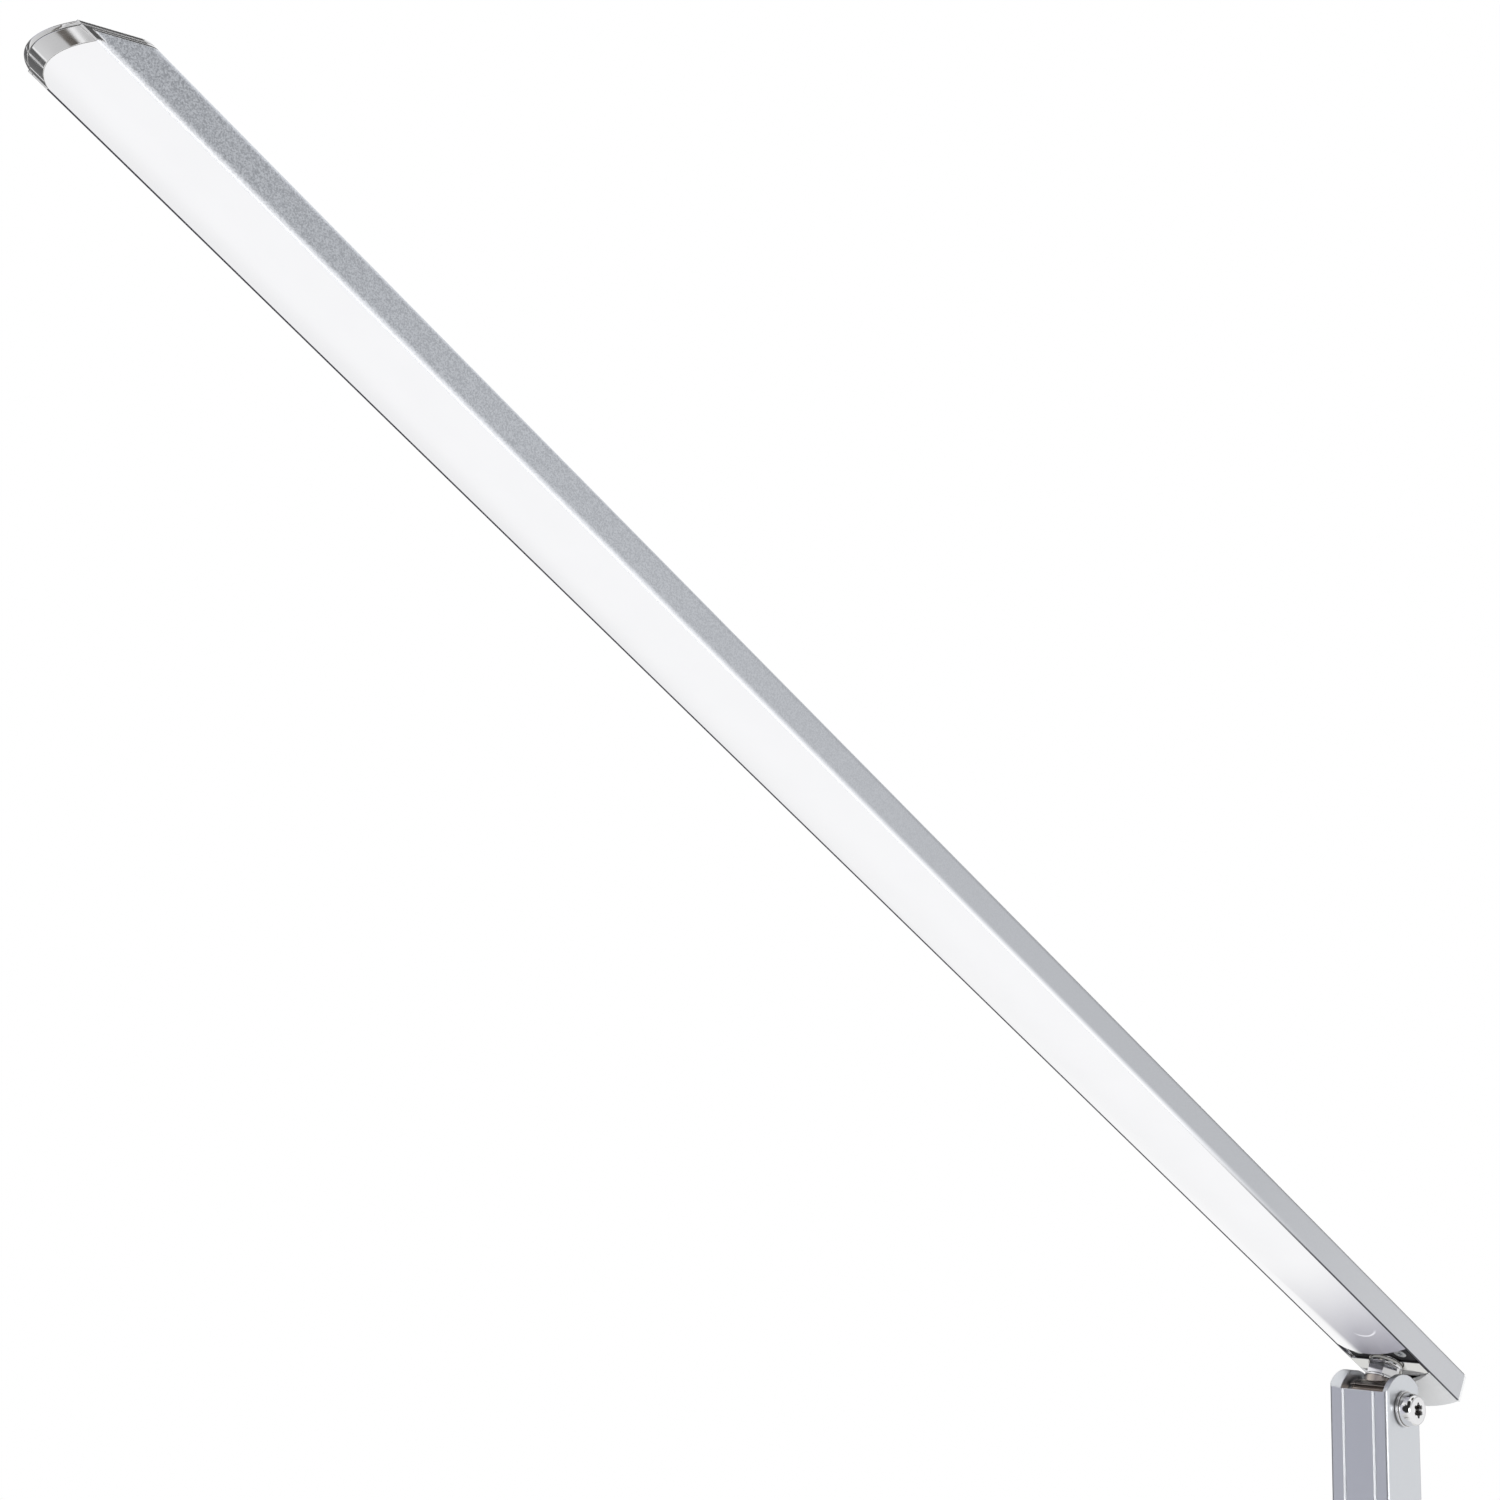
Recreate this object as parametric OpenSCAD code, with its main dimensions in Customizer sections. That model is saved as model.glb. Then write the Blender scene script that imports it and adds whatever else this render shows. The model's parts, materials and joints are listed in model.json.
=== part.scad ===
// Light bar on an aluminium post: an LED head that tilts on a clevis bolt and swivels on its neck.
// Units are millimetres, +Z is up and -Y is the front. The origin is the middle of the foot, on the desk.

/* [Light bar] */
// Length of the light bar along its underside
bar_len = 517; // [300:0.5:800]
// Width of the light bar
bar_w = 24; // [24:0.5:30]
// Height of the flat sides of the light bar
bar_h = 9; // [9:0.5:12]
// How far the diffuser bulges below the sides
dome_rise = 2.5; // [1.5:0.1:3]
// Number of LED packages on the board
led_count = 32; // [8:1:60]

/* [Post] */
// Width of the post, seen from the front
post_w = 19.5; // [19.5:0.5:24]
// Depth of the post from front to back
post_d = 16.5; // [16.5:0.5:20]
// Length of the post from its foot to the hinge bolt
post_len = 170; // [80:5:500]

/* [Hinge] */
// Tilt of the light bar above the horizontal, as drawn
rest_tilt = 29; // [0:1:90]
// Distance from the hinge bolt to the underside of the light bar
neck_len = 14; // [14:0.5:18]
// Height of the front wall of the clevis above the hinge bolt
wall_rise = 4.6; // [3:0.1:5]

/* [Foot] */
// Outer diameter of the hollow mounting stud
stud_d = 10; // [10:0.5:12]
// Length of the stud below the foot
stud_len = 28; // [15:1:60]

/* [Hidden] */

smooth = 96;        // segments of bores, pins and washers
fine = 192;         // segments of the diffuser's wide curve
gap = 0.05;         // radial clearance of running fits
seat = 0.02;        // clearance between parts that are fixed together
over = 1;           // how far a cutter runs past what it cuts

// Foot and post
pad_t = 1.5;
flange_t = 4;
flange_w = post_w + 9;
flange_d = post_d + 9;
post_base = pad_t + flange_t;
pivot_z = post_base + post_len;
post_corner_r = 1.2;
side_wall = 3.9;
face_wall = 1.6;
cavity_w = post_w - 2 * side_wall;
cavity_d = post_d - 2 * face_wall;
groove_x = 4.95;
groove_w = 0.9;
groove_depth = 0.45;
plug_h = 14;
foot_screw_d = 3;
foot_screw_z = post_base + 8;
stud_bore = 5.4;
stud_grip = 9;      // how far the stud's neck screws up into the plug
stud_neck_d = stud_d - 0.4;
cable_d = 4;
cable_tail = 22;    // cable between the stud and its plug

// Clevis, measured from the hinge bolt
ear_r = norm([post_d / 2, wall_rise + gap]);
back_wall = -6;
slot_bottom = -8;
slot_left = -cavity_w / 2;
slot_right = post_w / 2 - 1.65;
washer_t = 0.5;
friction_r = 5.5;
bolt_d = 5;
insert_d = 7;
bolt_washer_d = 10;
bolt_washer_t = 1;
head_base_r = 4.6;
head_face_r = 3.5;
head_h = 3.6;
torx_r = 2.2;
torx_lobe_r = 0.55;
torx_depth = 2;

// Knuckle: a lug that turns on the bolt and carries the swivel tube along +Z
lug_left = slot_left + washer_t + gap;
lug_right = slot_right - washer_t - gap;
lug_r = 5.9;
cam_r = 7.2;
cam_half_angle = 64;
lug_bore = 7;
lead_slot_w = 3;
seat_r = 4.8;
seat_z = 7.6;
tube_d = 6;
tube_bore = 3.4;
tube_foot = 4.2;
lock_nut_flats = 8.5;
lock_flange_r = 4.9;
lock_flange_t = 0.7;
slide_washer_r = 4.6;
slide_washer_t = 0.85;
plate_face = -0.3;  // the swivel plate's outer face, measured from the bar's underside
pocket_z = 3.2;
stop_r = 6.15;
stop_tab = 30;      // angle the stop tab takes up
swivel_range = 90;  // swivel each way from straight
stop_t = 0.5;
spring_t = 0.5;
nut_h = 2;
nut_flats = 9;
tube_top = pocket_z + stop_t + spring_t + nut_h + 0.25;
lead_r = 0.42;
lead_x = 0.6;

// Light bar, measured along u from the neck to the tip and up from the underside
u_hinge = -21.5;
u_tip = u_hinge + bar_len;
end_wall_t = 0.9;
bar_wall = 1.3;
top_corner_r = 1.5;
cavity_half = bar_w / 2 - bar_wall;
lens_half = cavity_half - 0.3;
lens_t = 1.4;
leg_t = 1.2;
leg_top = 2.4;
bead_z = 1.5;
bead_h = 0.8;
bead_out = 0.4;
lip_t = 0.55;        // thin lip of the housing that frames the domed strips
rebate_z = 0.6;     // how far that lip's rebate reaches up
flange_half = bar_w / 2 - lip_t - 0.05;
dome_r = (pow(flange_half, 2) + pow(dome_rise, 2)) / (2 * dome_rise);
shelf_z = 4.2;
shelf_t = 1;
roof_z = bar_h - 1.2;
rib_half = 7.2;     // the upper chamber lies between the screw ribs
port_x = 9;
port_z = (shelf_z + shelf_t + roof_z) / 2;
port_d = 1.8;
u_lens = 9;
u_lens_end = u_tip - 4.7;
u_cover = -4;       // how far the end cover's corners reach towards the neck
cover_arc_r = 20;   // its front edge curves round the neck
cover_arc_u = 12;
cover_seam = 0.35;
end_screw_len = 7;
nose_slope = 1.35;  // how far the nose leans back for each millimetre of height
u_housing_end = u_tip - 1.9;
cap_gap = 0.1;       // between the chrome cap and its neighbours
cap_rim = 0.65;      // thickness of the cap where it shows between housing and plate
cap_lip = 1;        // height of the chrome foot on the bar's sides
plate_t = 0.85;
nose_reach = 2 * dome_rise * nose_slope;

// Swivel plate and the anchor above the shelf
plate_front = u_lens - 0.4;
plate_rear = -13.3;
plate_step = 1.2;   // where the plate steps up behind the diffuser's end
recess_z = 1.5;
tongue_z = 1.25;    // underside of the plate's tongue inside the end cover
boss_r = 5;
seal_t = 1.1;
shelf_hole_r = 6.5;
anchor_t = 1.5;
anchor_u = [plate_rear, u_lens + 0.4];
front_screw = [7.1, 5];
rear_screw = [6.9, -11.2];
screw_d = 2;
screw_head_d = 3.6;
screw_head_h = 1.2;

// Light source
board_w = 12;
board_t = 1;
pad_film_t = 0.3;
board_u = [14, u_lens_end - 14];
led_size = [3.5, 2.8, 0.7];
led_end = 6;        // from the board's end to the first LED
control_u = [17, 77];
control_w = 13.4;
control_z = 5.6;
control_t = 0.8;
socket = [6, 4, 1.1];
lead_run_z = 7.15;  // height of the leads inside the upper chamber

function lift(z) = z + neck_len;

// ---- Placing and shapes that several parts share ----

// The knuckle's frame: hinge bolt at the origin, neck along +Z
module on_knuckle() {
  translate([0, 0, pivot_z])
    rotate([-rest_tilt, 0, 0])
      children();
}

// The light bar's frame: underside at z = 0, tip towards -Y
module on_bar() {
  on_knuckle()
    translate([0, 0, neck_len])
      children();
}

// A box centred on the bar: half width, span along u, span in height
module bar_box(half, u, z) {
  translate([-half, -u[1], z[0]])
    cube([2 * half, u[1] - u[0], z[1] - z[0]]);
}

// A flat shape of the bar's section, drawn out from u[0] to u[1]
module along_bar(u) {
  translate([0, -u[0], 0])
    rotate([90, 0, 0])
      linear_extrude(u[1] - u[0])
        children();
}

// A side view [u, height] drawn out across the bar
module across_bar(points, width) {
  rotate([90, 0, 90])
    linear_extrude(width, center = true)
      polygon([for (p = points) [-p[0], p[1]]]);
}

module at_bar(x, u, z) {
  translate([x, -u, z])
    children();
}

// A rod along the bar whose lower side is the diffuser's curve, inset by t
module dome_rod(u, t = 0) {
  translate([0, -u[0], dome_r - dome_rise])
    rotate([90, 0, 0])
      cylinder(r = dome_r - t, h = u[1] - u[0], $fn = fine);
}

// The curved strip with clip legs that the diffuser and the end cover share
module domed_strip(u) {
  difference() {
    union() {
      intersection() {
        dome_rod(u);
        bar_box(flange_half, u, [-dome_rise - over, rebate_z - seat]);
      }
      bar_box(lens_half, u, [0, leg_top]);
    }
    intersection() {
      dome_rod([u[0] - over, u[1] + over], lens_t);
      bar_box(lens_half - leg_t, [u[0] - over, u[1] + over], [-dome_rise, leg_top + over]);
    }
  }
}

module clip_beads(u) {
  for (side = [-1, 1])
    translate([side * (lens_half - 0.1 + bead_out) - (bead_out + 0.1) / 2 - side * bead_out / 2,
               -u[1], bead_z])
      cube([bead_out + 0.1, u[1] - u[0], bead_h]);
}

// Outline of the housing: square foot, round shoulders
module shell_outline() {
  half = bar_w / 2;
  translate([-half, 0])
    square([bar_w, bar_h - top_corner_r]);
  translate([-half + top_corner_r, 0])
    square([bar_w - 2 * top_corner_r, bar_h]);
  for (side = [-1, 1])
    translate([side * (half - top_corner_r), bar_h - top_corner_r])
      circle(top_corner_r, $fn = 48);
}

// Housing outline and diffuser curve together, as one solid bar
module full_section(u) {
  along_bar(u)
    shell_outline();
  intersection() {
    dome_rod(u);
    bar_box(flange_half, u, [-dome_rise - over, over]);
  }
}

// Side view of a slanted slab that follows the nose, from a to b along the underside
function nose(a, b) = [
  for (p = [[a, -2 * dome_rise], [b, -2 * dome_rise], [b, 2 * bar_h], [a, 2 * bar_h]])
    [p[0] - nose_slope * p[1], p[1]]
];

module ring(outer, inner, h) {
  difference() {
    cylinder(r = outer, h = h, $fn = smooth);
    translate([0, 0, -over])
      cylinder(r = inner, h = h + 2 * over, $fn = smooth);
  }
}

module hex_prism(flats, h) {
  cylinder(d = flats / cos(30), h = h, $fn = 6);
}

// A wire through a list of points
module lead(points, r) {
  for (i = [0:len(points) - 2])
    hull() {
      translate(points[i])
        sphere(r, $fn = 16);
      translate(points[i + 1])
        sphere(r, $fn = 16);
    }
}

// Pan head screw pointing up: its head hangs below z = 0
module pan_screw(d, head_d, head_h, len) {
  cylinder(d = d, h = len, $fn = 32);
  translate([0, 0, -head_h])
    difference() {
      cylinder(d = head_d, h = head_h, $fn = 48);
      translate([0, 0, -over])
        hex_prism(head_d * 0.36, head_h * 0.5 + over);
    }
}

module rounded_block(w, d, h, r) {
  translate([-w / 2 + r, -d / 2, 0])
    cube([w - 2 * r, d, h]);
  translate([-w / 2, -d / 2 + r, 0])
    cube([w, d - 2 * r, h]);
  for (x = [-1, 1], y = [-1, 1])
    translate([x * (w / 2 - r), y * (d / 2 - r), 0])
      cylinder(r = r, h = h, $fn = 48);
}

module post_outline(h) {
  rounded_block(post_w, post_d, h, post_corner_r);
}

// Everything below runs across the hinge, along X from a to b
module across_hinge(a, b) {
  translate([a, 0, 0])
    rotate([0, 90, 0])
      linear_extrude(b - a)
        children();
}

module hinge_rod(a, b, r) {
  translate([a, 0, 0])
    rotate([0, 90, 0])
      cylinder(r = r, h = b - a, $fn = smooth);
}

// ---- Post and foot ----

module post() {
  color("silver")
    difference() {
      intersection() {
        translate([0, 0, post_base])
          post_outline(post_len + 2 * post_d);
        union() {
          translate([0, 0, pivot_z])
            hinge_rod(-post_w, post_w, ear_r);
          translate([-post_w, -post_d, 0])
            cube([2 * post_w, 2 * post_d, pivot_z]);
        }
      }
      post_cavity();
      clevis_slot();
      post_grooves();
      translate([0, 0, pivot_z])
        hinge_rod(0, post_w, bolt_d / 2 + 0.1);
      translate([0, 0, pivot_z])
        hinge_rod(-post_w, 0, insert_d / 2 + seat);
      for (side = [0, 180])
        translate([0, 0, foot_screw_z])
          rotate([0, 0, side])
            hinge_rod(0, post_w, foot_screw_d / 2 + seat);
      for (side = [0, 180])
        translate([0, 0, foot_screw_z])
          rotate([0, 0, side])
            hinge_rod(post_w / 2 - 1.6, post_w, foot_screw_d + 0.1);
    }
}

module post_cavity() {
  translate([-cavity_w / 2, -cavity_d / 2, -over])
    cube([cavity_w, cavity_d, pivot_z + slot_bottom + 2 * over]);
}

module clevis_slot() {
  translate([0, 0, pivot_z]) {
    translate([slot_left, -cavity_d / 2, slot_bottom])
      cube([slot_right - slot_left, cavity_d, 3 * ear_r]);
    translate([slot_left, -post_d, wall_rise])
      cube([slot_right - slot_left, post_d, 2 * ear_r]);
    translate([slot_left, 0, back_wall])
      cube([slot_right - slot_left, post_d, 3 * ear_r]);
  }
}

// V grooves down the front face
module post_grooves() {
  for (side = [-1, 1])
    translate([side * groove_x, -post_d / 2, -over])
      linear_extrude(pivot_z + 2 * ear_r)
        polygon([[-groove_w, -groove_depth], [0, groove_depth], [groove_w, -groove_depth]]);
}

module foot_plug() {
  color("dimgray")
    difference() {
      union() {
        translate([0, 0, pad_t])
          rounded_block(flange_w, flange_d, flange_t, 3);
        translate([-cavity_w / 2 + gap, -cavity_d / 2 + gap, pad_t + over])
          cube([cavity_w - 2 * gap, cavity_d - 2 * gap, flange_t - over + plug_h]);
      }
      translate([0, 0, -over])
        cylinder(d = stud_neck_d + 2 * seat, h = pad_t + over + stud_grip, $fn = smooth);
      cylinder(d = stud_bore, h = 2 * (post_base + plug_h), $fn = smooth);
      translate([0, 0, post_base + plug_h - 3])
        cylinder(d = 9, h = 3 + over, $fn = smooth);
      translate([0, 0, foot_screw_z])
        hinge_rod(-post_w, post_w, foot_screw_d / 2 + seat);
    }
}

module foot_pad() {
  color("black")
    difference() {
      rounded_block(flange_w, flange_d, pad_t, 3);
      translate([0, 0, -over])
        cylinder(d = stud_d + 0.4, h = pad_t + 2 * over, $fn = smooth);
    }
}

module foot_screws() {
  color("gray")
    for (side = [0, 180])
      translate([0, 0, foot_screw_z])
        rotate([0, 0, side])
          difference() {
            union() {
              hinge_rod(3.1, post_w / 2 - 1.5, foot_screw_d / 2);
              hinge_rod(post_w / 2 - 1.6, post_w / 2 - 0.1, foot_screw_d);
            }
            translate([post_w / 2 - 1.1, 0, 0])
              rotate([0, 90, 0])
                hex_prism(2, 2);
          }
}

module mounting_stud() {
  color("gray")
    difference() {
      union() {
        translate([0, 0, -stud_len])
          cylinder(d = stud_d, h = stud_len, $fn = smooth);
        cylinder(d = stud_neck_d, h = pad_t + stud_grip, $fn = smooth);
      }
      translate([0, 0, -stud_len - over])
        cylinder(d = stud_bore, h = stud_len + pad_t + stud_grip + 2 * over, $fn = smooth);
    }
}

module cable_grommet() {
  color("black")
    translate([0, 0, post_base + plug_h - 3])
      ring(4.45, cable_d / 2 + seat, 3.8);
}

module supply_cable() {
  color("black")
    translate([0, 0, -stud_len - cable_tail])
      cylinder(d = cable_d, h = stud_len + cable_tail + pivot_z - 12, $fn = 48);
}

module supply_plug() {
  plug_len = 24;
  color("black")
    translate([0, 0, -stud_len - cable_tail - plug_len]) {
      difference() {
        union() {
          cylinder(d = 5.5, h = plug_len, $fn = smooth);
          translate([0, 0, 9.5])
            cylinder(d = 8.6, h = plug_len - 9.5, $fn = smooth);
        }
        translate([0, 0, -over])
          cylinder(d = 2.1, h = 9, $fn = 48);
      }
    }
}

// ---- Hinge ----

module torx_star(r, h) {
  lobe_at = r - torx_lobe_r;
  cylinder(r = lobe_at, h = h, $fn = 48);
  for (a = [0:60:300])
    rotate([0, 0, a])
      translate([lobe_at, 0, 0])
        cylinder(r = torx_lobe_r, h = h, $fn = 24);
}

// Half section of the domed screw head, from the axis out
function head_outline() = concat(
  [[0, 0], [head_base_r, 0], [head_base_r, 0.5]],
  [for (a = [10:10:80])
    [head_face_r + (head_base_r - head_face_r) * cos(a), 0.5 + (head_h - 0.5) * sin(a)]],
  [[head_face_r, head_h], [0, head_h]]
);

module hinge_bolt() {
  color("gainsboro")
    translate([0, 0, pivot_z]) {
      hinge_rod(-post_w / 2 + 0.2, post_w / 2 + bolt_washer_t + over, bolt_d / 2);
      translate([post_w / 2 + bolt_washer_t, 0, 0])
        rotate([0, 90, 0])
          difference() {
            rotate_extrude($fn = smooth)
              polygon(head_outline());
            translate([0, 0, head_h - torx_depth])
              torx_star(torx_r, torx_depth + over);
          }
    }
}

module bolt_washer() {
  color("gainsboro")
    translate([post_w / 2, 0, pivot_z])
      rotate([0, 90, 0])
        ring(bolt_washer_d / 2, bolt_d / 2 + 0.15, bolt_washer_t);
}

module thread_insert() {
  color("goldenrod")
    translate([-post_w / 2, 0, pivot_z])
      rotate([0, 90, 0])
        ring(insert_d / 2, bolt_d / 2 + seat, side_wall);
}

module friction_washers() {
  color("ivory")
    for (x = [slot_left, slot_right - washer_t])
      translate([x, 0, pivot_z])
        rotate([0, 90, 0])
          ring(friction_r, bolt_d / 2 + gap, washer_t);
}

// ---- Knuckle ----

// Wedge about +Z that keeps the cam's wide curve towards the neck
module cam_wedge() {
  reach = 3 * cam_r;
  across_hinge(lug_left, lug_right)
    polygon([
      [0, 0],
      [-reach * cos(cam_half_angle), -reach * sin(cam_half_angle)],
      [-reach, 0],
      [-reach * cos(cam_half_angle), reach * sin(cam_half_angle)]
    ]);
}

module knuckle() {
  color("gainsboro")
    on_knuckle()
      difference() {
        union() {
          hinge_rod(lug_left, lug_right, lug_r);
          intersection() {
            hinge_rod(lug_left, lug_right, cam_r);
            cam_wedge();
          }
          cylinder(r = seat_r, h = seat_z, $fn = smooth);
        }
        hinge_rod(-post_w, post_w, lug_bore / 2 + seat);
        translate([0, 0, tube_foot])
          cylinder(d = tube_d + 2 * seat, h = seat_z, $fn = smooth);
        translate([-lead_slot_w / 2, 2.7, -2 * lug_r])
          cube([lead_slot_w, 2, 2 * lug_r + tube_foot + over]);
        translate([-lead_slot_w / 2, -1.7, 0])
          cube([lead_slot_w, 1.7 + 4.7, tube_foot + over / 2]);
      }
}

module hinge_bushes() {
  color("goldenrod")
    on_knuckle()
      for (span = [[lug_left, -lead_slot_w / 2], [lead_slot_w / 2, lug_right]])
        translate([span[0], 0, 0])
          rotate([0, 90, 0])
            ring(lug_bore / 2, bolt_d / 2 + gap, span[1] - span[0]);
}

module swivel_tube() {
  color("silver")
    on_knuckle()
      translate([0, 0, tube_foot])
        ring(tube_d / 2, tube_bore / 2, lift(tube_top) - tube_foot);
}

module swivel_lock_nut() {
  top = lift(plate_face) - gap - slide_washer_t;
  color("gainsboro")
    on_knuckle()
      difference() {
        union() {
          translate([0, 0, seat_z])
            hex_prism(lock_nut_flats, top - seat_z);
          translate([0, 0, seat_z])
            cylinder(r = lock_flange_r, h = lock_flange_t, $fn = smooth);
          translate([0, 0, top - lock_flange_t])
            cylinder(r = lock_flange_r, h = lock_flange_t, $fn = smooth);
        }
        cylinder(d = tube_d + 2 * seat, h = lift(0), $fn = smooth);
      }
}

module slide_washer() {
  color("ivory")
    on_knuckle()
      translate([0, 0, lift(plate_face) - gap - slide_washer_t])
        ring(slide_washer_r, tube_d / 2 + seat, slide_washer_t);
}

module stop_washer() {
  color("gray")
    on_bar()
      translate([0, 0, pocket_z + gap / 2]) {
        ring(5.1, tube_d / 2 + seat, stop_t - gap);
        intersection() {
          ring(stop_r, 4.9, stop_t - gap);
          stop_sector(stop_tab, 2);
        }
      }
}

// A sector about the neck that points to the front, as wide as the given angle
module stop_sector(angle, h) {
  reach = 20;
  half = angle / 2;
  linear_extrude(h)
    polygon(concat(
      [[0, 0]],
      [for (i = [-2:2]) [reach * sin(i * half / 2), -reach * cos(i * half / 2)]]
    ));
}

module disc_spring() {
  color("gray")
    on_bar()
      translate([0, 0, pocket_z + stop_t])
        ring(4.9, tube_d / 2 + seat, spring_t - seat);
}

module retaining_nut() {
  color("silver")
    on_bar()
      translate([0, 0, pocket_z + stop_t + spring_t])
        difference() {
          hex_prism(nut_flats, nut_h);
          translate([0, 0, -over])
            cylinder(d = tube_d + 2 * seat, h = nut_h + 2 * over, $fn = smooth);
        }
}

module knuckle_leads() {
  bypass_y = 3.7;
  color("firebrick")
    on_knuckle()
      for (side = [-1, 1])
        lead([
          [side * lead_x, 0, lift(tube_top) - lead_r],
          [side * lead_x, 0, 4],
          [side * lead_x, bypass_y, 2.2],
          [side * lead_x, bypass_y, -3.9]
        ], lead_r);
}

// ---- Swivel plate and anchor ----

module plate_holes(d, z0, z1) {
  for (at = [front_screw, rear_screw], side = [-1, 1])
    at_bar(side * at[0], at[1], z0)
      cylinder(d = d, h = z1 - z0, $fn = 48);
}

module swivel_plate() {
  rib_angle = 360 - 2 * swivel_range - stop_tab - 1;
  color("gainsboro")
    on_bar()
      difference() {
        union() {
          intersection() {
            union() {
              bar_box(lens_half, [plate_rear, plate_step], [plate_face, shelf_z]);
              bar_box(flange_half, [plate_rear, plate_step], [plate_face, rebate_z - seat]);
            }
            cover_arc(cover_arc_r - cover_seam);
          }
          bar_box(lens_half, [plate_step - over, plate_front], [recess_z, shelf_z]);
          bar_box(lens_half - leg_t - 0.1, [plate_rear, 0], [tongue_z, shelf_z]);
          translate([0, 0, plate_face])
            cylinder(r = boss_r, h = shelf_z - plate_face, $fn = smooth);
        }
        translate([0, 0, -neck_len])
          cylinder(d = tube_d + 2 * gap, h = 3 * neck_len, $fn = smooth);
        translate([0, 0, pocket_z])
          cylinder(r = 5.3, h = shelf_z, $fn = smooth);
        translate([0, 0, pocket_z])
          intersection() {
            cylinder(r = 6.3, h = shelf_z, $fn = smooth);
            rotate([0, 0, 180])
              difference() {
                translate([-10, -10, 0])
                  cube([20, 20, shelf_z]);
                stop_sector(rib_angle, shelf_z);
              }
          }
        plate_holes(screw_d + 0.2, -1, shelf_z + over);
        for (side = [-1, 1])
          at_bar(side * rear_screw[0], rear_screw[1], tongue_z - over)
            cylinder(d = screw_head_d + 0.2, h = screw_head_h + over + 0.1, $fn = 48);
      }
}

module swivel_plate_screws() {
  top = shelf_z + shelf_t + anchor_t - 0.1;
  rear_seat = tongue_z + screw_head_h + 0.1;
  color("gray")
    on_bar()
      for (side = [-1, 1]) {
        at_bar(side * front_screw[0], front_screw[1], recess_z)
          pan_screw(screw_d, screw_head_d, screw_head_h, top - recess_z);
        at_bar(side * rear_screw[0], rear_screw[1], rear_seat)
          pan_screw(screw_d, screw_head_d, screw_head_h, top - rear_seat);
      }
}

// Black strip that stops light leaking past the diffuser's end
module light_seal() {
  color("black")
    on_bar()
      difference() {
        bar_box(lens_half - 0.1, [plate_step + 0.1, plate_front - 0.1],
                [recess_z - seal_t, recess_z - seat]);
        plate_holes(screw_head_d + 0.2, 0, shelf_z);
        cylinder(r = boss_r + 0.1, h = shelf_z, $fn = smooth);
      }
}

module anchor_plate() {
  floor_z = shelf_z + shelf_t;
  color("gray")
    on_bar()
      difference() {
        bar_box(cavity_half - 0.1, [anchor_u[0] + 0.1, anchor_u[1] - 0.1],
                [floor_z, floor_z + anchor_t]);
        cylinder(r = shelf_hole_r, h = bar_h, $fn = smooth);
        bar_box(2.4, [0, anchor_u[1] + over], [floor_z - over, bar_h]);
        plate_holes(screw_d + 2 * seat, shelf_z, bar_h);
      }
}

// ---- Light bar ----

module housing() {
  floor_z = shelf_z + shelf_t;
  color("lightsteelblue")
    on_bar()
      difference() {
        along_bar([u_hinge + end_wall_t, u_tip])
          difference() {
            shell_outline();
            translate([-cavity_half, -over])
              square([2 * cavity_half, shelf_z + over]);
            translate([-bar_w / 2 + lip_t, -over])
              square([bar_w - 2 * lip_t, rebate_z + over]);
            for (side = [-1, 1])
              translate([side * (cavity_half + 0.1) - 0.3, bead_z - 0.1])
                square([0.6, bead_h + 0.2]);
            translate([-rib_half, floor_z])
              square([2 * rib_half, roof_z - floor_z]);
            for (side = [-1, 1])
              translate([side * port_x, port_z])
                circle(d = port_d, $fn = 32);
          }
        bar_box(cavity_half, anchor_u, [floor_z, roof_z]);
        cylinder(r = shelf_hole_r, h = floor_z + over, $fn = smooth);
        plate_holes(screw_d + 0.2, shelf_z - over, floor_z + over);
        bar_box(4.2, [11.2, 13.4], [shelf_z - over, floor_z + over]);
        for (u = board_screw_u())
          at_bar(0, u, shelf_z - over)
            cylinder(d = screw_d + 2 * seat, h = shelf_t + 2 * over, $fn = 32);
        across_bar(nose(u_housing_end, 2 * u_tip), 2 * bar_w);
        intersection() {
          across_bar(nose(u_lens_end, 2 * u_tip), 2 * bar_w);
          bar_box(bar_w, [0, 2 * u_tip], [-over, cap_lip + gap]);
        }
      }
}

module diffuser() {
  color("white", 0.8)
    on_bar()
      difference() {
        union() {
          domed_strip([u_lens, u_lens_end + nose_reach]);
          clip_beads([u_lens, u_lens_end]);
        }
        across_bar(nose(u_lens_end, 2 * u_tip), 2 * bar_w);
      }
}

// Upright cylinder whose near side is the seam between the end cover and the swivel plate
module cover_arc(r) {
  translate([0, -cover_arc_u, -neck_len])
    cylinder(r = r, h = 2 * neck_len, $fn = fine);
}

module end_cover() {
  strip = [u_hinge + end_wall_t - 0.2, u_cover];
  color("lightgray")
    on_bar()
      difference() {
        union() {
          domed_strip(strip);
          clip_beads([strip[0], u_cover - 2]);
          full_section([u_hinge, u_hinge + end_wall_t - 0.05]);
        }
        cover_arc(cover_arc_r);
        for (side = [-1, 1])
          at_bar(side * port_x, u_hinge - over, port_z)
            rotate([-90, 0, 0])
              translate([0, 0, -2 * end_wall_t - 2 * over])
                cylinder(d = 2.2, h = 4 * end_wall_t + 4 * over, $fn = 32);
      }
}

module end_cover_screws() {
  color("gray")
    on_bar()
      for (side = [-1, 1])
        at_bar(side * port_x, u_hinge, port_z)
          rotate([90, 0, 0])
            pan_screw(port_d - 0.04, 3.4, 1, end_screw_len);
}

// Solid piece of the bar's section that follows the nose from a to b
module nose_slab(a, b) {
  intersection() {
    full_section([a - 2 * nose_slope * bar_h, b + nose_reach]);
    across_bar(nose(a, b), 2 * bar_w);
  }
}

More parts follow.
